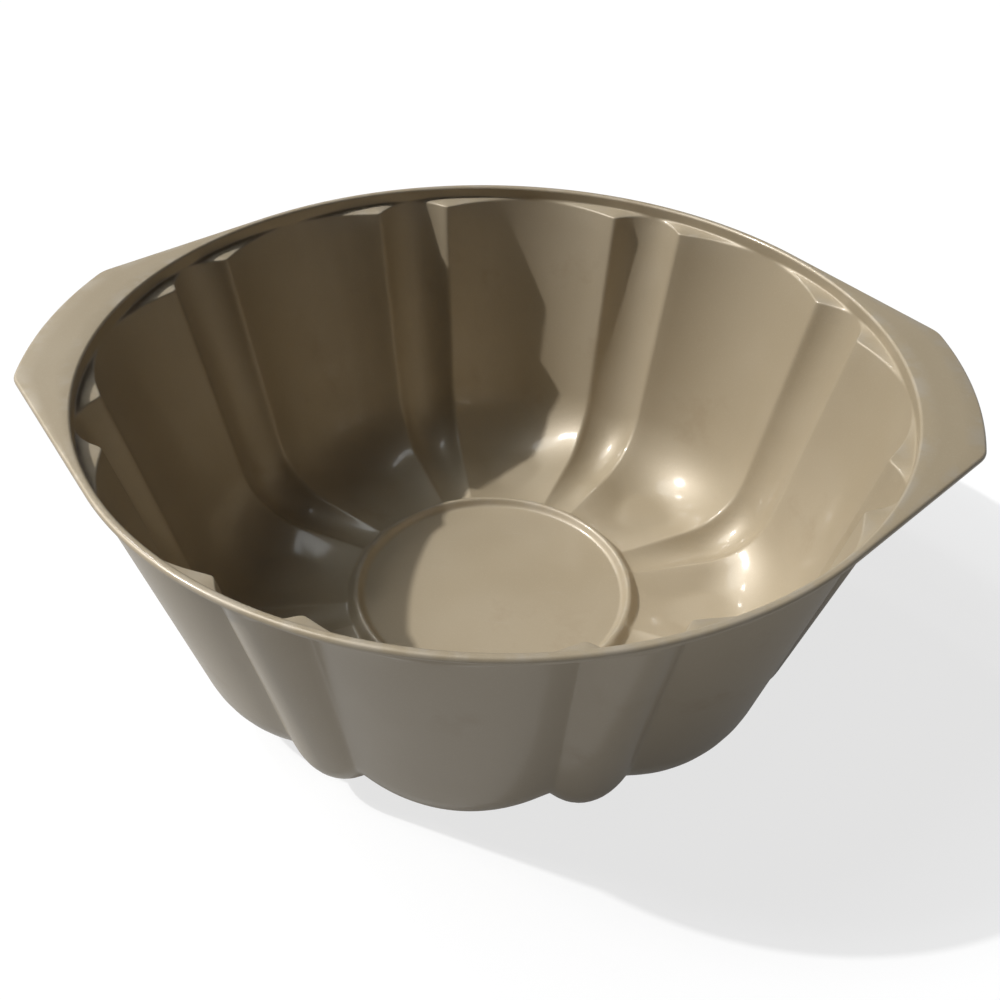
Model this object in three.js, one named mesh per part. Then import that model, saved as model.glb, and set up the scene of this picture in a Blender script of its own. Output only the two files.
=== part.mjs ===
import * as THREE from 'three';

// Driving dimensions in millimetres. +Z is up, +X points at one handle,
// and the origin lies on the table under the centre of the bowl.
const HEIGHT = 96.8;
const RIM_RADIUS = 120.8;
const SHEET = 0.6;
const FLANGE = 2.5;
const ROLL_RADIUS = 1;
const HANDLE_REACH = 135.4;
const HANDLE_TANGENT = 40.5;
const HANDLE_CORNER = 10;
const COLLAR_RADIUS = RIM_RADIUS - FLANGE;
const LEDGE_TOP = HEIGHT - 4.4;
const LEDGE_EDGE = HEIGHT - 5.4;
const LOBE_PAIRS = 8;
const CREST_RADIUS = COLLAR_RADIUS - 0.6;
const CREASE_RADIUS = 111.4;
const NARROW_HALF_ANGLE = 6.17;
const FOOT_RADIUS = 50.2;
const RING_RADIUS = 46.3;
const RING_LAND = 0.8;
const RING_TOP = 6;
const DISC_RADIUS = 42.8;
const DISC_TOP = 3.6;

// Meridian of a wide lobe, of a narrow lobe and of the crease between them:
// wall draft and floor slope in degrees, corner radius, floor height at the foot of the ring.
const WIDE_LOBE = { top: CREST_RADIUS, draft: 13.4, corner: 29.6, slope: -10, floor: 2.4 };
const NARROW_LOBE = { top: CREST_RADIUS, draft: 14.2, corner: 22.3, slope: -3.5, floor: 2.6 };
const CREASE = { top: CREASE_RADIUS, draft: 12, corner: 23, slope: 4, floor: 3.7 };

const SECTOR = 360 / LOBE_PAIRS;
const HALF_SECTOR = SECTOR / 2;
const WIDE_HALF_ANGLE = HALF_SECTOR - NARROW_HALF_ANGLE;

// Stations of the loft: degrees beside a wide lobe's crest, a crease and a narrow lobe's crest,
// steps of a corner arc, shares of the ring's slopes, and turns round the bend and the roll.
const WIDE_FLANKS = [6, 11];
const CREASE_SHOULDER = 1.2;
const NARROW_FLANK = 2.6;
const ARC_STEPS = 5;
const RING_INSIDE = [1, 0.5, 0];
const RING_OUTSIDE = [0, 0.34, 0.7];
const BEND_TURNS = [180, 140, 100];
const ROLL_TURNS = [80, 40, 0, -35, -70, -105];

const rad = THREE.MathUtils.degToRad;
const lerp = THREE.MathUtils.lerp;
const polar = (radius, degrees) => new THREE.Vector2(Math.cos(rad(degrees)), Math.sin(rad(degrees)))
  .multiplyScalar(radius);

// Circular lobe seen from above: an arc through its crest and both of its creases.
function lobeArc(halfAngle) {
  const edge = polar(CREASE_RADIUS, halfAngle);
  const rise = CREST_RADIUS - edge.x;
  const radius = (edge.y * edge.y + rise * rise) / (2 * rise);
  const centre = CREST_RADIUS - radius;
  return (degrees) => {
    const side = centre * Math.sin(rad(degrees));
    const reach = centre * Math.cos(rad(degrees)) + Math.sqrt(radius * radius - side * side);
    return (reach - CREASE_RADIUS) / (CREST_RADIUS - CREASE_RADIUS);
  };
}

const wideArc = lobeArc(WIDE_HALF_ANGLE);
const narrowArc = lobeArc(NARROW_HALF_ANGLE);

// Drafted wall, tangent corner arc and floor of one meridian, from the ledge to the ring's foot.
function meridian({ top, draft, corner, slope, floor }) {
  const wallDown = new THREE.Vector2(-Math.sin(rad(draft)), -Math.cos(rad(draft)));
  const wallIn = new THREE.Vector2(-Math.cos(rad(draft)), Math.sin(rad(draft)));
  const floorOut = polar(1, slope);
  const floorUp = polar(1, slope + 90);
  const start = new THREE.Vector2(top, LEDGE_EDGE);
  const foot = new THREE.Vector2(FOOT_RADIUS, floor);
  const a = start.clone().addScaledVector(wallIn, corner);
  const b = foot.clone().addScaledVector(floorUp, corner);
  const run = b.clone().sub(a).cross(floorOut) / wallDown.cross(floorOut);
  const centre = a.clone().addScaledVector(wallDown, run);
  const wallEnd = centre.clone().addScaledVector(wallIn, -corner);
  const arc = [];
  for (let i = 0; i <= ARC_STEPS; i += 1) {
    const turn = lerp(-draft, slope - 90, i / ARC_STEPS);
    arc.push(centre.clone().add(polar(corner, turn)));
  }
  const half = start.clone().lerp(wallEnd, 0.5);
  const middle = arc[ARC_STEPS].clone().lerp(foot, 0.5);
  return [start, half, ...arc, middle, foot].reverse();
}

const wideMeridian = meridian(WIDE_LOBE);
const narrowMeridian = meridian(NARROW_LOBE);
const creaseMeridian = meridian(CREASE);

// Fluted wall and floor at one angle, from the ring's foot up to the ledge.
function flutedMeridian(degrees) {
  const turn = ((degrees % SECTOR) + SECTOR) % SECTOR;
  const fromWide = Math.min(turn, SECTOR - turn);
  const isWide = fromWide <= WIDE_HALF_ANGLE;
  const share = isWide ? wideArc(fromWide) : narrowArc(HALF_SECTOR - fromWide);
  const lobe = isWide ? wideMeridian : narrowMeridian;
  return creaseMeridian.map((point, i) => {
    const blended = point.clone().lerp(lobe[i], share);
    blended.y = Math.max(blended.y, SHEET);
    return blended;
  });
}

// Raised ring round the sunken disc: a steep half-cosine step, a narrow land and a half-cosine slope outside.
function ringMeridian(footHeight) {
  const fall = (share) => Math.sin(share * Math.PI / 2) ** 2;
  const inside = RING_INSIDE.map((share) => new THREE.Vector2(
    lerp(RING_RADIUS - RING_LAND, DISC_RADIUS, share),
    lerp(RING_TOP, DISC_TOP, fall(share)),
  ));
  const outside = RING_OUTSIDE.map((share) => new THREE.Vector2(
    lerp(RING_RADIUS, FOOT_RADIUS, share),
    lerp(RING_TOP, footHeight, fall(share)),
  ));
  return [...inside, ...outside];
}

// Corner of a handle: centre of its fillet, tangent to the end arc and to the straight side.
const filletReach = HANDLE_REACH - HANDLE_CORNER;
const filletTurn = THREE.MathUtils.radToDeg(Math.acos((RIM_RADIUS - HANDLE_CORNER) / filletReach));
const filletStart = HANDLE_TANGENT - filletTurn;
const filletCentre = polar(filletReach, filletStart);
const filletPoint = (turn) => filletCentre.clone().add(polar(HANDLE_CORNER, turn));
const polarAngle = (point) => THREE.MathUtils.radToDeg(Math.atan2(point.y, point.x));
const filletMiddle = polarAngle(filletPoint((filletStart + HANDLE_TANGENT) / 2));
const filletEnd = polarAngle(filletPoint(HANDLE_TANGENT));

// Outer edge of the rim at one angle, with the direction square to it.
function rimEdge(degrees) {
  const base = 180 * Math.round(degrees / 180);
  const fromHandle = Math.abs(degrees - base);
  const side = Math.sign(degrees - base);
  let radius = RIM_RADIUS;
  let facing = fromHandle;
  if (fromHandle <= filletStart) {
    radius = HANDLE_REACH;
  } else if (fromHandle < filletEnd) {
    const along = filletCentre.dot(polar(1, fromHandle));
    const across = filletCentre.lengthSq() - along * along;
    radius = along + Math.sqrt(HANDLE_CORNER ** 2 - across);
    facing = polarAngle(polar(radius, fromHandle).sub(filletCentre));
  } else if (fromHandle < HANDLE_TANGENT) {
    radius = RIM_RADIUS / Math.cos(rad(HANDLE_TANGENT - fromHandle));
    facing = HANDLE_TANGENT;
  }
  return { point: polar(radius, degrees), normal: polar(1, base + side * facing) };
}

// Angles of the loft: lobe crests, flanks, and every crease with both of its shoulders,
// with more stations at the corners of the two handles.
function loftAngles() {
  const crease = [-CREASE_SHOULDER, 0, CREASE_SHOULDER].map((beside) => WIDE_HALF_ANGLE + beside);
  const narrowSide = [...crease, HALF_SECTOR - NARROW_FLANK];
  const plain = [0, ...WIDE_FLANKS, ...narrowSide];
  const cornered = [0, WIDE_FLANKS[0], filletStart, filletMiddle, filletEnd, ...narrowSide];
  const angles = [];
  for (let lobe = 0; lobe < LOBE_PAIRS; lobe += 1) {
    const half = lobe % (LOBE_PAIRS / 2) === 0 ? cornered : plain;
    const centre = lobe * SECTOR;
    angles.push(...half.slice(1).reverse().map((offset) => centre - offset));
    angles.push(...half.map((offset) => centre + offset));
    angles.push(centre + HALF_SECTOR);
  }
  return angles;
}

// Rolled edge at one angle: bend of the collar, flat flange, and roll round the outer edge.
function rolledEdge(degrees, radius) {
  const { point, normal } = rimEdge(degrees);
  const height = HEIGHT - ROLL_RADIUS;
  const bendCentre = polar(COLLAR_RADIUS + ROLL_RADIUS, degrees);
  const outward = polar(1, degrees);
  const rollCentre = point.clone().addScaledVector(normal, -ROLL_RADIUS);
  const section = (centre, facing) => (turn) => new THREE.Vector3(
    centre.x + facing.x * radius * Math.cos(rad(turn)),
    centre.y + facing.y * radius * Math.cos(rad(turn)),
    height + radius * Math.sin(rad(turn)),
  );
  const bend = BEND_TURNS.map(section(bendCentre, outward));
  const roll = ROLL_TURNS.map(section(rollCentre, normal));
  return [...bend, ...roll];
}

// Upper face of the pressed sheet at one angle, from the disc's edge to the ledge.
function pressedFace(degrees) {
  const fluted = flutedMeridian(degrees);
  const section = [...ringMeridian(fluted[0].y), ...fluted, new THREE.Vector2(COLLAR_RADIUS, LEDGE_TOP)];
  return section.map(({ x, y }) => new THREE.Vector3(...polar(x, degrees).toArray(), y));
}

// Lower face: every point moved square to the sheet by its thickness, mitred at the corners.
function lowerFace(columns) {
  const count = columns.length;
  const facet = (j, i) => {
    const here = columns[(j + count) % count];
    const next = columns[(j + 1 + count) % count];
    const across = next[i + 1].clone().sub(here[i]);
    const back = next[i].clone().sub(here[i + 1]);
    return back.cross(across).normalize();
  };
  return columns.map((column, j) => column.slice(0, -1).map((point, i) => {
    const rows = i === 0 ? [0] : [i - 1, i];
    const facets = rows.flatMap((row) => [facet(j - 1, row), facet(j, row)]);
    const mean = facets.reduce((sum, each) => sum.add(each), new THREE.Vector3()).normalize();
    const spread = facets.reduce((sum, each) => sum + mean.dot(each), 0) / facets.length;
    const moved = point.clone().addScaledVector(mean, SHEET / spread);
    moved.z = point.z > SHEET ? Math.max(moved.z, 0) : 0;
    return moved;
  }));
}

// Closed solid of the pressed sheet from its upper and lower columns of points.
function sheetGeometry(upper, lower, upperPole, lowerPole) {
  const count = upper.length;
  const rows = upper[0].length;
  const points = [...upper.flat(), ...lower.flat(), upperPole, lowerPole];
  const up = (j, i) => (j % count) * rows + i;
  const down = (j, i) => count * rows + up(j, i);
  const triangles = [];
  const quad = (a, b, c, d) => triangles.push(a, b, c, a, c, d);
  for (let j = 0; j < count; j += 1) {
    triangles.push(points.length - 2, up(j, 0), up(j + 1, 0));
    triangles.push(points.length - 1, down(j + 1, 0), down(j, 0));
    for (let i = 0; i < rows - 1; i += 1) {
      quad(up(j, i), up(j, i + 1), up(j + 1, i + 1), up(j + 1, i));
      quad(down(j, i), down(j + 1, i), down(j + 1, i + 1), down(j, i + 1));
    }
    quad(up(j, rows - 1), down(j, rows - 1), down(j + 1, rows - 1), up(j + 1, rows - 1));
  }
  return indexedGeometry(points, triangles);
}

function indexedGeometry(points, triangles) {
  const geometry = new THREE.BufferGeometry();
  const flat = points.flatMap((point) => point.toArray());
  geometry.setAttribute('position', new THREE.Float32BufferAttribute(flat, 3));
  geometry.setIndex(triangles);
  geometry.computeVertexNormals();
  return geometry;
}

const angles = loftAngles();
const pressed = angles.map(pressedFace);
const rolled = angles.map((degrees) => rolledEdge(degrees, ROLL_RADIUS));
const rolledInside = angles.map((degrees) => rolledEdge(degrees, ROLL_RADIUS - SHEET));
const pressedBack = lowerFace(pressed.map((column, j) => [...column, rolled[j][0]]));
const upperFace = pressed.map((column, j) => [...column, ...rolled[j]]);
const underFace = pressedBack.map((column, j) => [...column, ...rolledInside[j]]);
const discTop = new THREE.Vector3(0, 0, DISC_TOP);
const discUnder = new THREE.Vector3(0, 0, DISC_TOP - SHEET);

const coat = new THREE.MeshStandardMaterial({ color: 0xb09d86, roughness: 0.32, metalness: 0.35 });

const shell = new THREE.Mesh(sheetGeometry(upperFace, underFace, discTop, discUnder), coat);
shell.name = 'pan_shell';

const pan = new THREE.Group();
pan.name = 'fluted_pan';
pan.add(shell);

export default pan;
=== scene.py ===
# %% [markdown]
# # A fluted cake pan of pressed and coated steel
# The pan is one round of thin steel sheet, pressed into wide and narrow flutes, with a rolled edge
# and two flat tab handles, and a satin champagne nonstick coat over all of it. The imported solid
# model is loaded first, because it fixes where everything is. The pan made here repeats its sizes
# with many more points, so that the corners become as round as pressed sheet really is. Only the
# ledges under the rim, the tops of the flutes and the ring's inner step differ from the solid, by
# less than a millimetre, because the light on them in the photograph shows them so.

# %% Load the fixed frame
import math

import bpy
import numpy as np
from mathutils import Matrix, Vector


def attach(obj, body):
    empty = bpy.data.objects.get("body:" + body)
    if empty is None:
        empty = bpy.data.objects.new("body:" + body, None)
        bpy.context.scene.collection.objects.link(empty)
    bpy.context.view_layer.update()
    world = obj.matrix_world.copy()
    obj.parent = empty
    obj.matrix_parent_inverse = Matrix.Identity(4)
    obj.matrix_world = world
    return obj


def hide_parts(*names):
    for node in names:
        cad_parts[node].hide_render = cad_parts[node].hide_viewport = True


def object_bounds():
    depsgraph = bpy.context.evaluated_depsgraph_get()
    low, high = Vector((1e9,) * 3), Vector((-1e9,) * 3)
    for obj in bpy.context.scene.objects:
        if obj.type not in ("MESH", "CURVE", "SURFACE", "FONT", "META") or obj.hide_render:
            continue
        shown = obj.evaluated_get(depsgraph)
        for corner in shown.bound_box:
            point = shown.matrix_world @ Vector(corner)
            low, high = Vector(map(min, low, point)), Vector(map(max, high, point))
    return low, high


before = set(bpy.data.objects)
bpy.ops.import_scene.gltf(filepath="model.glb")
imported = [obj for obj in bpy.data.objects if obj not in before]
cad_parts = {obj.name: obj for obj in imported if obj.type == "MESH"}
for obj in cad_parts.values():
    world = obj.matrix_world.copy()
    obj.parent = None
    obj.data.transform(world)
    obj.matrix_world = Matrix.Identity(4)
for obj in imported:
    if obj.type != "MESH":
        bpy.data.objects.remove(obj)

cad_low, cad_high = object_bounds()
print("frame nodes", sorted(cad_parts), "box", [round(v, 4) for v in (*cad_low, *cad_high)])

# %% [markdown]
# ## The sizes
# A pressed pan is described by a few drawing sizes: how wide the rim is, how deep the flutes are cut,
# how far the walls lean. They are kept in millimetres, as on a drawing, and the mesh is scaled
# to metres at the very end.

# %% Drawing sizes in millimetres and degrees
MM = 0.001
HEIGHT = cad_high.z / MM
RIM_RADIUS = cad_high.y / MM
HANDLE_REACH = cad_high.x / MM
SHEET = 0.6
FLANGE = 2.5
ROLL_RADIUS = 1.0
COLLAR_RADIUS = RIM_RADIUS - FLANGE
LEDGE_TOP = HEIGHT - 3.9
LEDGE_EDGE = HEIGHT - 4.7
LOBE_PAIRS = 8
CREST_RADIUS = COLLAR_RADIUS - 0.1
CREASE_RADIUS = 111.4
SECTOR = 2 * math.pi / LOBE_PAIRS
NARROW_HALF_ANGLE = math.radians(6.17)
WIDE_HALF_ANGLE = SECTOR / 2 - NARROW_HALF_ANGLE
print(f"rim {2 * RIM_RADIUS:.1f} mm, height {HEIGHT:.2f} mm, {2 * LOBE_PAIRS} flutes")

# %% [markdown]
# ## Where the points go round the pan
# A surface that is worked out as a grid needs its columns where the form turns fastest. Even steps
# would waste points on the broad flutes and cut the creases flat, so the columns follow a density:
# closer at each crease between two flutes and at the four corners of the handles.

# %% Columns of the grid
COLUMNS = 512
TRIAL_STEPS = 36000
HANDLE_CORNER_ANGLE = math.radians(12.8)
CREASE_CROWD, CREASE_SPREAD = 2.2, math.radians(1.6)
CORNER_CROWD, CORNER_SPREAD = 4, math.radians(1.2)


def bell(value, middle, width):
    """One at the middle, falling off on both sides as a bell of that width."""
    return np.exp(-((value - middle) / width) ** 2)


def turn_from(turn, spacing):
    """Angle to the nearest of the marks that stand round the pan, that far apart, from angle zero on."""
    return np.abs((turn + spacing / 2) % spacing - spacing / 2)


def crowded_angles(count):
    """Angles at equal steps of a running total of one, plus a bell at every crease and handle corner."""
    trial = np.linspace(0, 2 * math.pi, TRIAL_STEPS + 1)
    at_crease = bell(turn_from(trial, SECTOR), WIDE_HALF_ANGLE, CREASE_SPREAD)
    at_corner = bell(turn_from(trial, math.pi), HANDLE_CORNER_ANGLE, CORNER_SPREAD)
    density = 1 + CREASE_CROWD * at_crease + CORNER_CROWD * at_corner
    total = np.concatenate([[0], np.cumsum(density[:-1])])
    return np.interp(np.arange(count) / count * total[-1], total, trial)


angle = crowded_angles(COLUMNS)
outward = np.stack([np.cos(angle), np.sin(angle)], -1)
steps = np.degrees(np.diff(angle))
print(f"{COLUMNS} columns, {steps.min():.2f} to {steps.max():.2f} degrees apart")

# %% [markdown]
# ## The flutes seen from above
# Each flute is a circular arc through its crest and its two creases. Two arcs would meet in a knife
# edge, and sheet metal can't be pressed that sharp, so each flute's share fades in softly and the
# two shares together leave a rounded ridge.

# %% Share of a wide and of a narrow flute at every column
CREASE_SOFTNESS = 0.3


def lobe_share(offset, half_angle):
    """Reach of a flute's arc beyond the crease radius, at an angle from its crest, over its full depth."""
    edge_x = CREASE_RADIUS * math.cos(half_angle)
    edge_y = CREASE_RADIUS * math.sin(half_angle)
    rise = CREST_RADIUS - edge_x
    radius = (edge_y ** 2 + rise ** 2) / (2 * rise)
    centre = CREST_RADIUS - radius
    half_chord = np.sqrt(np.maximum(radius ** 2 - (centre * np.sin(offset)) ** 2, 0))
    return (centre * np.cos(offset) + half_chord - CREASE_RADIUS) / (CREST_RADIUS - CREASE_RADIUS)


def soft_positive(value, softness):
    """The value where positive, nothing where negative, and a parabola between, softness wide each way."""
    bent = (np.clip(value, -softness, softness) + softness) ** 2 / (4 * softness)
    return np.where(value > softness, value, bent)


from_wide = turn_from(angle, SECTOR)
wide_share = soft_positive(lobe_share(from_wide, WIDE_HALF_ANGLE), CREASE_SOFTNESS)
narrow_share = soft_positive(lobe_share(SECTOR / 2 - from_wide, NARROW_HALF_ANGLE), CREASE_SOFTNESS)
flute_share = wide_share + narrow_share
print(f"least share at a crease {flute_share.min():.2f}, most at a crest {flute_share.max():.2f}")

# %% [markdown]
# ## The wall and floor in section
# Cut through its middle, the pan shows a floor line, a round corner and a wall that leans out by its
# draft, so that the cake comes free. A wide flute, a narrow flute and a crease each have their own
# section. The pan's surface is the crease's section, pulled towards a flute's by that flute's share.

# %% Sections from the foot of the ring up to the ledge
FOOT_RADIUS = 50.2
FLOOR_ROWS, CORNER_ROWS, WALL_ROWS = 9, 16, 9
EDGE_ROUND = 0.6


def section(top, draft, corner, slope, floor):
    """Rows of (radius, height): a floor line, an arc that touches floor and wall, a wall up to the ledge."""
    lean, tilt = math.radians(draft), math.radians(slope)
    wall_down = np.array([-math.sin(lean), -math.cos(lean)])
    wall_in = np.array([-math.cos(lean), math.sin(lean)])
    floor_out = np.array([math.cos(tilt), math.sin(tilt)])
    floor_up = np.array([-math.sin(tilt), math.cos(tilt)])
    edge, foot = np.array([top, LEDGE_EDGE]), np.array([FOOT_RADIUS, floor])
    gap = foot + corner * floor_up - edge - corner * wall_in
    crossing = wall_down[0] * floor_out[1] - wall_down[1] * floor_out[0]
    run = (gap[0] * floor_out[1] - gap[1] * floor_out[0]) / crossing
    centre = edge + corner * wall_in + run * wall_down
    turn = np.linspace(tilt - math.pi / 2, -lean, CORNER_ROWS)
    arc = centre + corner * np.stack([np.cos(turn), np.sin(turn)], -1)
    floor_rows = np.linspace(foot, arc[0], FLOOR_ROWS, endpoint=False)
    wall_rows = np.linspace(arc[-1], edge + EDGE_ROUND * wall_down, WALL_ROWS + 1)[1:]
    return np.concatenate([floor_rows, arc, wall_rows, [edge]])


crease = section(CREASE_RADIUS, draft=12, corner=23, slope=4, floor=3.7)
wide = section(CREST_RADIUS, draft=13.8, corner=29.6, slope=-10, floor=2.4)
narrow = section(CREST_RADIUS, draft=14.6, corner=22.3, slope=-3.5, floor=2.6)
fluted = (
    crease[:, None]
    + wide_share[:, None] * (wide - crease)[:, None]
    + narrow_share[:, None] * (narrow - crease)[:, None]
)
PAD_SOFTNESS = 0.5
fluted[..., 1] = SHEET + soft_positive(fluted[..., 1] - SHEET, PAD_SOFTNESS)
print(f"fluted rows {len(fluted)}, floor from {fluted[..., 1].min():.2f} mm")

# %% [markdown]
# ## The ring in the floor
# A low ring stands round a flat disc in the middle of the floor. It stiffens the sheet there. Its slopes
# are half waves of a cosine, which start and end level, so no edge shows where they meet the floor. The
# inner one is a little step that rises late: its foot is soft and its upper edge is tight.

# %% Disc and ring
RING_RADIUS, RING_LAND, RING_TOP = 46.3, 0.4, 6.0
DISC_RADIUS, DISC_TOP = 42.8, 3.6
DISC_ROWS = np.array([8.0, 20.0, 32.0, 40.0])
RING_ROWS_IN, RING_ROWS_OUT = 10, 11
STEP_LATE = 1.7


def half_wave(start, end, share):
    """A value that goes from start to end as half a cosine wave over a share from 0 to 1."""
    return start + (end - start) * (1 - np.cos(math.pi * share)) / 2


inside = np.linspace(0, 1, RING_ROWS_IN)
outside = np.linspace(0, 1, RING_ROWS_OUT + 1)[:-1]
disc_rows = np.stack([DISC_ROWS, np.full(len(DISC_ROWS), DISC_TOP)], -1)
step_radius = DISC_RADIUS + (RING_RADIUS - RING_LAND - DISC_RADIUS) * inside
slope_in = np.stack([step_radius, half_wave(DISC_TOP, RING_TOP, inside ** STEP_LATE)], -1)
middle = np.repeat(np.concatenate([disc_rows, slope_in])[:, None], COLUMNS, 1)
slope_out = np.stack(np.broadcast_arrays(
    (RING_RADIUS + (FOOT_RADIUS - RING_RADIUS) * outside)[:, None],
    half_wave(RING_TOP, fluted[0, :, 1], outside[:, None]),
), -1)
print(f"ring {2 * RING_RADIUS:.1f} mm across stands {RING_TOP - DISC_TOP:.1f} mm over the disc")

# %% [markdown]
# ## The ledge under the rim
# Above the flutes the sheet steps out to a plain round collar. The step is a small flat ledge, widest
# over a crease and nothing over a crest. In the light its edges are thin bright lines, so both of its
# corners are rounded: a curve leaves along one side of the corner and arrives along the other.

# %% Rounded corners of the ledge
COLLAR_ROUND = 0.6
ROUND_SHARE = 0.45
ROUND_ROWS = 6


def rounded_corner(before, corner, after):
    """Rows on a curve of the second degree from before to after that is pulled towards the corner."""
    t = np.linspace(0, 1, ROUND_ROWS)[:, None, None]
    return (1 - t) ** 2 * before + 2 * t * (1 - t) * corner + t ** 2 * after


wall_end, edge = fluted[-2], fluted[-1]
collar_foot = np.broadcast_to([COLLAR_RADIUS, LEDGE_TOP], edge.shape)
ledge = collar_foot - edge
ledge_width = np.linalg.norm(ledge, axis=-1, keepdims=True)
inset = np.minimum(EDGE_ROUND, ROUND_SHARE * ledge_width) * ledge / ledge_width
ledge_rows = np.concatenate([
    rounded_corner(wall_end, edge, edge + inset),
    rounded_corner(collar_foot - inset, collar_foot, collar_foot + [0, COLLAR_ROUND]),
])
pressed = np.concatenate([middle, slope_out, fluted[:-2], ledge_rows])
print(f"ledge {ledge_width.min():.1f} to {ledge_width.max():.1f} mm wide, {len(pressed)} rows so far")

# %% [markdown]
# ## The rim and its two tabs
# Seen from above the rim is a circle. At each handle two straight sides leave the circle along its
# tangents, and an outer arc with rounded corners closes the tab. The sheet bends over the collar, runs
# flat over the tab and is rolled down round its outer edge, which hides the cut and stiffens it.

# %% Outline of the rim from above
HANDLE_TANGENT = math.radians(40.5)
HANDLE_CORNER = 10.0
corner_reach = HANDLE_REACH - HANDLE_CORNER
corner_start = HANDLE_TANGENT - math.acos((RIM_RADIUS - HANDLE_CORNER) / corner_reach)
corner_centre = corner_reach * np.array([math.cos(corner_start), math.sin(corner_start)])
corner_last = corner_centre + HANDLE_CORNER * np.array([math.cos(HANDLE_TANGENT), math.sin(HANDLE_TANGENT)])
corner_end = math.atan2(corner_last[1], corner_last[0])


def rim_outline(angle):
    """Points of the outer edge and directions square to it: end arc, corner arc, straight side, rim."""
    base = math.pi * np.round(angle / math.pi)
    turned, side = np.abs(angle - base), np.sign(angle - base)
    ray = np.stack([np.cos(turned), np.sin(turned)], -1)
    along = ray @ corner_centre
    on_corner = along + np.sqrt(np.maximum(HANDLE_CORNER ** 2 + along ** 2 - corner_reach ** 2, 0))
    on_side = RIM_RADIUS / np.cos(np.minimum(HANDLE_TANGENT - turned, 1))
    spoke = on_corner[:, None] * ray - corner_centre
    where = [turned <= corner_start, turned < corner_end, turned < HANDLE_TANGENT]
    radius = np.select(where, [np.full_like(turned, HANDLE_REACH), on_corner, on_side], RIM_RADIUS)
    round_corner = np.arctan2(spoke[:, 1], spoke[:, 0])
    facing = np.select(where, [turned, round_corner, np.full_like(turned, HANDLE_TANGENT)], turned)
    square = base + side * facing
    point = radius[:, None] * np.stack([np.cos(angle), np.sin(angle)], -1)
    return point, np.stack([np.cos(square), np.sin(square)], -1)


rim_edge, rim_square = rim_outline(angle)
corner_range = np.degrees([corner_start, corner_end]).round(1)
print(f"handle corner between {corner_range} degrees, widest {rim_edge[:, 0].max():.1f} mm")

# %% Bend over the collar, flat tab and rolled edge
BEND_TURNS = np.radians(np.linspace(180, 96, 8))
ROLL_TURNS = np.radians(np.linspace(84, -105, 15))
TAB_SHARES = np.array([0.33, 0.67])


def rolled(turns, centre, facing):
    """Rows round a circle that stands upright on the line of centres and faces square to it."""
    flat = centre + ROLL_RADIUS * np.cos(turns)[:, None, None] * facing
    lift = HEIGHT - ROLL_RADIUS + ROLL_RADIUS * np.sin(turns)
    return np.concatenate([flat, np.broadcast_to(lift[:, None, None], (*flat.shape[:2], 1))], -1)


bend = rolled(BEND_TURNS, (COLLAR_RADIUS + ROLL_RADIUS) * outward, outward)
roll = rolled(ROLL_TURNS, rim_edge - ROLL_RADIUS * rim_square, rim_square)
tab = bend[-1] + TAB_SHARES[:, None, None] * (roll[0] - bend[-1])
bowl = np.concatenate([pressed[..., :1] * outward, pressed[..., 1:]], -1)
upper = np.concatenate([bowl, bend, tab, roll])
print(f"upper face {upper.shape[0]} rows by {upper.shape[1]} columns")

# %% [markdown]
# ## The sheet's lower face
# A Solidify modifier could thicken the sheet, but the pan has to stand on flat pads, so the lower face
# is worked out too: every point moves one thickness along the line square to the surface, and where
# that would go under the table it stops there. The two faces then meet round the lip of the roll.

# %% Lower face and the closed grid
def square_to(grid):
    """Unit directions square to a grid that closes round the pan: the cross product of its two slopes."""
    round_pan = np.roll(grid, -1, 1) - np.roll(grid, 1, 1)
    up_wall = np.gradient(grid, axis=0)
    square = np.cross(up_wall, round_pan)
    return square / np.linalg.norm(square, axis=-1, keepdims=True)


upper_square = square_to(upper)
lower = upper - SHEET * upper_square
lower[..., 2] = np.maximum(lower[..., 2], 0)
sheet_grid = np.concatenate([upper, lower[::-1]])
print(f"lower face from {lower[..., 2].min():.2f} to {lower[..., 2].max():.2f} mm")

# %% [markdown]
# ## From a grid to a mesh
# The grid runs from the middle of the disc over the rim and back to the middle underneath, so it has a
# pole at either end, where the faces are a fan. The signed volume tells whether the faces point
# outwards. Numpy makes all faces at once, which keeps the script fast.

# %% Mesh from a grid
def grid_mesh(name, grid, poles):
    """Closed mesh: four-sided faces between neighbours on the grid and a fan from each end row to a pole."""
    rows, columns = grid.shape[:2]
    here = np.arange(rows * columns).reshape(rows, columns)
    beside = np.roll(here, -1, 1)
    quads = np.stack([here[:-1], beside[:-1], beside[1:], here[1:]], -1).reshape(-1, 4)
    points = np.concatenate([grid.reshape(-1, 3), poles])
    first, last = np.full(columns, len(points) - 2), np.full(columns, len(points) - 1)
    first_fan = np.stack([first, beside[0], here[0]], -1)
    last_fan = np.stack([last, here[-1], beside[-1]], -1)
    corners = points[quads]
    halves = np.cross(corners[:, 1] - corners[:, 0], corners[:, 2] - corners[:, 0])
    order = -1 if (halves * corners[:, 0]).sum() < 0 else 1
    faces = [face for part in (quads, first_fan, last_fan) for face in part[:, ::order].tolist()]
    mesh = bpy.data.meshes.new(name)
    mesh.from_pydata((points * MM).tolist(), [], faces)
    mesh.polygons.foreach_set("use_smooth", np.ones(len(faces), bool))
    mesh.update()
    piece = bpy.data.objects.new(name, mesh)
    bpy.context.scene.collection.objects.link(piece)
    print(f"{name}: {len(points)} points, {len(faces)} faces")
    return piece


poles = np.array([[0, 0, DISC_TOP], [0, 0, DISC_TOP - SHEET]])
pan = grid_mesh("pressed_pan", sheet_grid, poles)
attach(pan, "root")
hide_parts("pan_shell")

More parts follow.
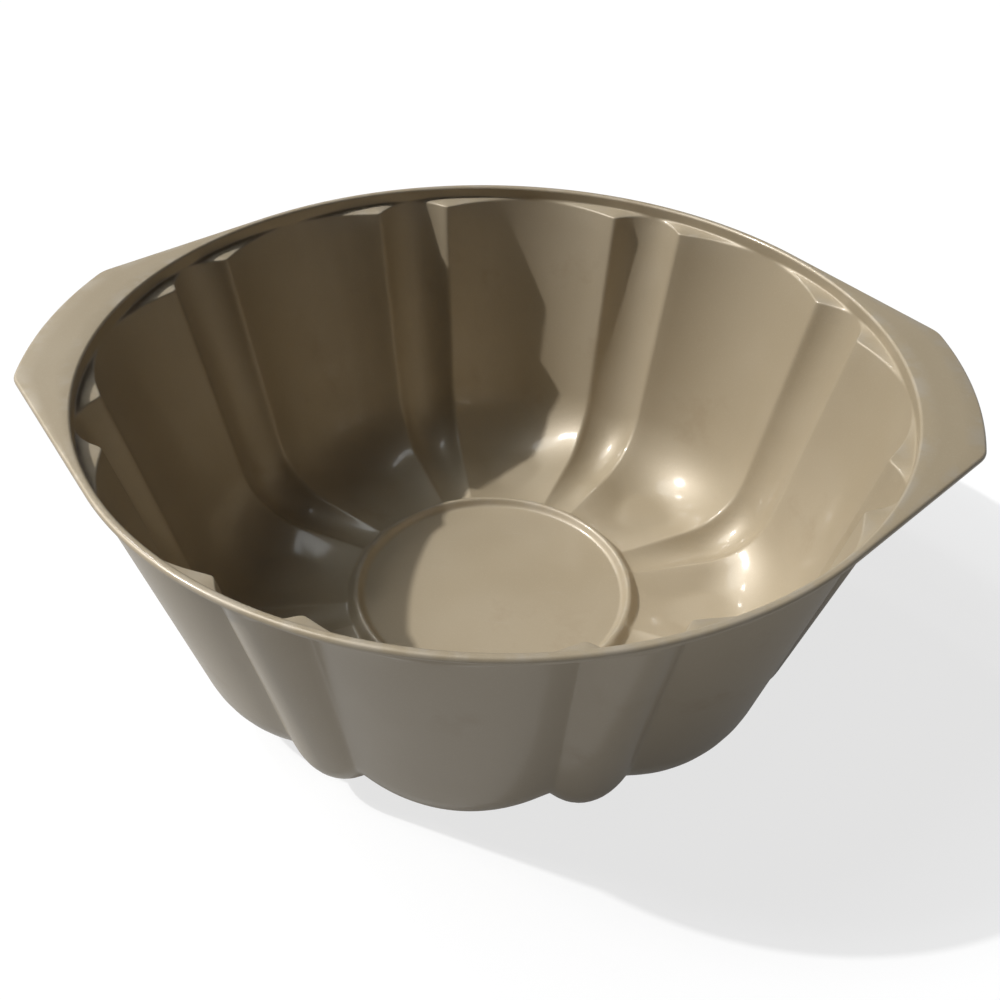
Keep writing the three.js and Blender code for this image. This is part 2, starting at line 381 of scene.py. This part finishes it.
# %% [markdown]
# ## Where the coat is rubbed
# A coat wears first where the sheet stands proud: along the bend and the roll of the rim, on the ledge's
# edge, on the crest of the ring, and under the pads the pan stands on. The grid knows those rows, so
# the wear is stored on the points as a number from 0 to 1. A second number says how level the sheet
# lies, because scratches gather on level places.

# %% Wear on the points of the pan
RING_WEAR, LEDGE_WEAR, RIM_WEAR, BEND_WEAR, PAD_WEAR = 2.0, 0.5, 1.0, 0.9, 1.2
BROAD_LEDGE = 4
radius = np.linalg.norm(upper[..., :2], axis=-1)
height = upper[..., 2]
ring_crest = bell(radius, RING_RADIUS, RING_WEAR) * (height < 2 * RING_TOP)
ledge_edge = bell(height, LEDGE_EDGE, LEDGE_WEAR) * np.clip(ledge_width[:, 0] / BROAD_LEDGE, 0, 1)
on_bend = bell(radius, COLLAR_RADIUS + ROLL_RADIUS, BEND_WEAR)
on_roll = np.arange(len(upper))[:, None] >= len(upper) - len(roll)
rim_bend = bell(height, HEIGHT, RIM_WEAR) * (on_bend + on_roll)
upper_wear = np.clip(0.7 * ring_crest + 0.6 * ledge_edge + rim_bend, 0, 1)
lower_wear = np.clip(1 - lower[..., 2] / PAD_WEAR, 0, 1)


def store_on_points(name, on_upper, on_lower, on_poles):
    """Keeps a number on every point of the pan, in its grid's order: upper face, lower face, two poles."""
    values = np.concatenate([on_upper.ravel(), on_lower[::-1].ravel(), on_poles])
    layer = pan.data.attributes.new(name, "FLOAT", "POINT")
    layer.data.foreach_set("value", values.astype(np.float32))
    print(f"{name}: {(values > 0.4).mean():.2f} of the points above 0.4")


store_on_points("rubbed", upper_wear, lower_wear, [0, 0])
store_on_points("level", upper_square[..., 2], np.zeros_like(lower_wear), [1, 0])

# %% [markdown]
# ## A small language for materials
# Materials are graphs of nodes, and sums of numbers in such a graph are hard to read when every plus is
# a node made by hand. The class below wraps a socket, so that ordinary arithmetic adds the Math nodes,
# and one method makes any other node from its kind, its settings and its inputs.

# %% Sockets that can be calculated with
class Socket:
    """An output in a node tree. Arithmetic with numbers or other sockets adds Math nodes."""

    def __init__(self, tree, output=None):
        self.tree, self.output = tree, output

    def node(self, kind, settings=(), inputs=(), give=0):
        """Makes a node, sets its settings first, then its inputs by name or place, and gives one output."""
        made = self.tree.nodes.new(kind)
        for name, value in dict(settings).items():
            setattr(made, name, value)
        for name, value in dict(inputs).items():
            target = made.inputs[name]
            if isinstance(value, Socket):
                self.tree.links.new(value.output, target)
            else:
                target.default_value = value
        return Socket(self.tree, made.outputs[give]) if len(made.outputs) else made

    def math(self, operation, *values):
        """A Math node with that operation on the values."""
        return self.node("ShaderNodeMath", {"operation": operation}, dict(enumerate(values)))

    def __add__(self, other):
        return self.math("ADD", self, other)

    def __sub__(self, other):
        return self.math("SUBTRACT", self, other)

    def __rsub__(self, other):
        return self.math("SUBTRACT", other, self)

    def __mul__(self, other):
        return self.math("MULTIPLY", self, other)

    def between(self, low, high):
        """Nothing below low, one above high and a soft rise between."""
        ends = {"Value": self, "From Min": low, "From Max": high}
        return self.node("ShaderNodeMapRange", {"interpolation_type": "SMOOTHSTEP"}, ends)

    def mix(self, under, over):
        """The colour under, covered by the colour over as far as this socket says."""
        return self.node("ShaderNodeMix", {"data_type": "RGBA"}, {0: self, 6: under, 7: over}, give=2)

    __radd__, __rmul__ = __add__, __mul__


def new_finish(name):
    """An empty material and a socket maker on its nodes."""
    material = bpy.data.materials.new(name)
    material.use_nodes = True
    material.node_tree.nodes.clear()
    return material, Socket(material.node_tree)


def finish_surface(maker, inputs):
    """A Principled surface with those inputs, joined to the material's output."""
    surface = maker.node("ShaderNodeBsdfPrincipled", inputs=inputs)
    maker.node("ShaderNodeOutputMaterial", inputs={"Surface": surface})


print("socket arithmetic ready")

# %% [markdown]
# ## The nonstick coat
# The coat is a champagne paint with a little metal flake in it, baked on and satin-glossy. Up close it
# has a faint orange peel, its tone drifts a little from place to place, rubbed edges are paler and
# show some metal, fine scratches run over the disc and the tabs, and a thin brown film of baked oil
# has gathered in patches. Each of those is a mask, and the masks are mixed in that order.

# %% Coat: masks
coat, nodes = new_finish("champagne_coat")
place = nodes.node("ShaderNodeTexCoord", give="Object")


def grain(scale, detail=3.0, roughness=0.5, stretch=(1, 1, 1), turn=0.0):
    """Noise of that many features to the metre, from 0 to 1; stretch and turn draw it out into streaks."""
    drawn_out = {"Vector": place, "Rotation": (0, 0, turn), "Scale": stretch}
    where = nodes.node("ShaderNodeMapping", {"vector_type": "POINT"}, drawn_out)
    sizes = {"Vector": where, "Scale": scale, "Detail": detail, "Roughness": roughness}
    return nodes.node("ShaderNodeTexNoise", {"noise_dimensions": "3D"}, sizes)


def on_points(name):
    """The number of that name that the pan's points carry."""
    return nodes.node("ShaderNodeAttribute", {"attribute_name": name}, give="Fac")


drift = grain(22, detail=2)
flake = grain(2600, detail=1)
peel = grain(700, detail=2)
rub = on_points("rubbed") * grain(160, detail=4).between(0.42, 0.66)
level = on_points("level").between(0.9, 0.99)
streak = grain(60, stretch=(1, 34, 1), turn=0.5).between(0.68, 0.74)
cross_streak = grain(52, stretch=(1, 40, 1), turn=-0.9).between(0.69, 0.74)
scratch = (streak + cross_streak) * level * grain(35).between(0.4, 0.6)
film = grain(48, detail=5, roughness=0.6).between(0.56, 0.74) * grain(9).between(0.42, 0.6)
print("coat masks:", len(coat.node_tree.nodes), "nodes")

# %% Coat: colour, gloss and orange peel
CHAMPAGNE = (0.352, 0.286, 0.19, 1)
CHAMPAGNE_PALE = (0.372, 0.306, 0.21, 1)
FLAKE = (0.44, 0.37, 0.27, 1)
OIL_FILM = (0.22, 0.155, 0.085, 1)
RUBBED = (0.47, 0.42, 0.345, 1)
SCRATCHED = (0.43, 0.37, 0.29, 1)
colour = drift.between(0.35, 0.65).mix(CHAMPAGNE, CHAMPAGNE_PALE)
colour = (flake.between(0.60, 0.72) * 0.25).mix(colour, FLAKE)
colour = (film * 0.22).mix(colour, OIL_FILM)
colour = (scratch * 0.35).mix(colour, SCRATCHED)
colour = (rub * 0.55).mix(colour, RUBBED)
gloss = 0.5 + 0.08 * drift + 0.06 * film + 0.10 * scratch + 0.12 * rub
relief = peel + 0.3 * flake - 0.4 * scratch
bumps = nodes.node("ShaderNodeBump", inputs={"Strength": 0.12, "Distance": 0.0002, "Height": relief})
finish_surface(nodes, {
    "Base Color": colour,
    "Metallic": 0.18 + 0.3 * rub,
    "Specular IOR Level": 0.7,
    "Roughness": gloss,
    "Coat Weight": 0.42 - 0.12 * rub - 0.12 * film,
    "Coat Roughness": 0.13,
    "Coat IOR": 1.5,
    "Normal": bumps,
})
pan.data.materials.append(coat)
print("coat:", len(coat.node_tree.nodes), "nodes")

# %% [markdown]
# ## Floor and light
# The pan stands on a plain white floor. Most of what the camera sees of the floor is its own glow, which
# keeps it pale while it still takes the pan's shadow. The coat shows the floor dimmer. The sky is
# white along the horizon and dim above, like a studio with pale walls.

# %% Floor
WHITE = (1, 1, 1, 1)
FLOOR_HALF, FLOOR_DROP = 4.0, 0.0002
FLOOR_SEEN, FLOOR_BOUNCE = (0.94, 0.94, 0.94, 1), (0.34, 0.34, 0.34, 1)
FLOOR_GLOW, FLOOR_MIRROR_GLOW, FLOOR_MIRROR_SHARE = 0.75, 0.2, 0.32


def camera_and_mirror(maker):
    """Two sockets: one on rays from the camera, and one on rays that a glossy or clear surface sends on."""
    rays = ("Is Camera Ray", "Is Glossy Ray", "Is Transmission Ray")
    straight, glossy, through = [maker.node("ShaderNodeLightPath", give=ray) for ray in rays]
    return straight, maker.math("MAXIMUM", glossy, through)


floor_corners = np.array([[-1, -1, 0], [1, -1, 0], [1, 1, 0], [-1, 1, 0]])
floor_points = floor_corners * FLOOR_HALF - [0, 0, FLOOR_DROP]
floor_mesh = bpy.data.meshes.new("floor")
floor_mesh.from_pydata(floor_points.tolist(), [], [[0, 1, 2, 3]])
floor = bpy.data.objects.new("floor", floor_mesh)
bpy.context.scene.collection.objects.link(floor)
paper, nodes = new_finish("white_floor")
seen, mirrored = camera_and_mirror(nodes)
paleness = nodes.math("MAXIMUM", seen, mirrored * FLOOR_MIRROR_SHARE)
glowing = nodes.math("MAXIMUM", seen * FLOOR_GLOW, mirrored * FLOOR_MIRROR_GLOW)
lit = nodes.node("ShaderNodeBsdfDiffuse", inputs={"Color": paleness.mix(FLOOR_BOUNCE, FLOOR_SEEN)})
glow = nodes.node("ShaderNodeEmission", inputs={"Color": WHITE, "Strength": 1.0})
both = nodes.node("ShaderNodeMixShader", inputs={0: glowing, 1: lit, 2: glow})
nodes.node("ShaderNodeOutputMaterial", inputs={"Surface": both})
floor_mesh.materials.append(paper)
print("floor", 2 * FLOOR_HALF, "m wide")

# %% Sky
SKY_DIM = (0.04, 0.04, 0.042, 1)
SKY_MIRROR_GLOW = 0.35
SKY_WHITE_BELOW, SKY_DIM_ABOVE = 0.2, 0.5
world = bpy.data.worlds.new("studio")
bpy.context.scene.world = world
world.use_nodes = True
world.node_tree.nodes.clear()
sky = Socket(world.node_tree)
direction = sky.node("ShaderNodeTexCoord", give="Generated")
upward = sky.node("ShaderNodeSeparateXYZ", inputs={"Vector": direction}, give="Z")
seen, mirrored = camera_and_mirror(sky)
low_sky = 1 - upward.between(SKY_WHITE_BELOW, SKY_DIM_ABOVE)
sky_white = sky.math("MAXIMUM", seen, mirrored * SKY_MIRROR_GLOW) * low_sky
sky_glow = {"Color": sky_white.mix(SKY_DIM, WHITE), "Strength": 1.0}
sky.node("ShaderNodeOutputWorld", inputs={"Surface": sky.node("ShaderNodeBackground", inputs=sky_glow)})
print("sky white at the horizon,", SKY_DIM[:3], "above")

# %% [markdown]
# ## Lamps
# The key lamp stands to the left, half way up the sky: it lights the tabs and the right wall and leaves
# the left wall in the rim's shadow. A soft screen round it gives its highlights their pale rims, a wide
# window fills the shadows, and two small lamps add the sparkles on the lower wall.

# %% Lamps
def far_lamp(name, azimuth, elevation, energy, spread, colour=(1, 1, 1)):
    """A lamp so far away that its rays run side by side, at those angles and that wide, all in degrees."""
    data = bpy.data.lights.new(name, "SUN")
    data.energy, data.angle, data.color = energy, math.radians(spread), colour
    lamp = bpy.data.objects.new(name, data)
    bpy.context.scene.collection.objects.link(lamp)
    lamp.rotation_euler = (0, math.radians(90 - elevation), math.radians(azimuth))
    lamp.location = (math.cos(math.radians(azimuth)), math.sin(math.radians(azimuth)), 1.0)
    print(f"{name}: {elevation:.0f} degrees up at {azimuth:.0f} degrees round")


far_lamp("key_lamp", azimuth=180, elevation=45.6, energy=3.0, spread=1.0)
far_lamp("key_screen", azimuth=180, elevation=45.6, energy=0.8, spread=10)
far_lamp("window", azimuth=170, elevation=60, energy=0.66, spread=24, colour=(0.9, 0.96, 1))
far_lamp("small_lamp_high", azimuth=152, elevation=48, energy=0.3, spread=4)
far_lamp("small_lamp_low", azimuth=128, elevation=43, energy=0.2, spread=4)

# %% [markdown]
# ## Camera
# The photograph looks down at the pan from the front, a little from the right and slightly rolled. The
# place, the turn and the lens come from fitting the rim, the ledges and the floor ring to the picture.

# %% Camera at the photograph's place
VIEW_AZIMUTH, VIEW_ELEVATION, VIEW_ROLL = np.radians([4.974, 38.741, 1.737])
VIEW_PLACE = (0.027435, -0.277198, 0.265582)
VIEW_LENS = 40.042
VIEW_SHIFT = -0.0052
back = np.array([
    math.sin(VIEW_AZIMUTH) * math.cos(VIEW_ELEVATION),
    -math.cos(VIEW_AZIMUTH) * math.cos(VIEW_ELEVATION),
    math.sin(VIEW_ELEVATION),
])
level_right = np.array([math.cos(VIEW_AZIMUTH), math.sin(VIEW_AZIMUTH), 0])
level_up = np.cross(back, level_right)
right = math.cos(VIEW_ROLL) * level_right + math.sin(VIEW_ROLL) * level_up
up = np.cross(back, right)
camera_data = bpy.data.cameras.new("view")
camera_data.lens, camera_data.sensor_width = VIEW_LENS, 36
camera_data.shift_x = VIEW_SHIFT
camera_data.clip_start = 0.01
camera = bpy.data.objects.new("view", camera_data)
bpy.context.scene.collection.objects.link(camera)
turned = np.eye(4)
turned[:3, :3] = np.stack([right, up, back], -1)
turned[:3, 3] = VIEW_PLACE
camera.matrix_world = Matrix(turned.tolist())
bpy.context.scene.camera = camera
bpy.context.scene.view_settings.view_transform = "Standard"
print("camera at", VIEW_PLACE, "lens", VIEW_LENS)

# %% [markdown]
# ## Last update
# The visual model fills the same box as the solids, and the view layer is updated once more at the end.

# %% Update the view layer
bpy.context.view_layer.update()
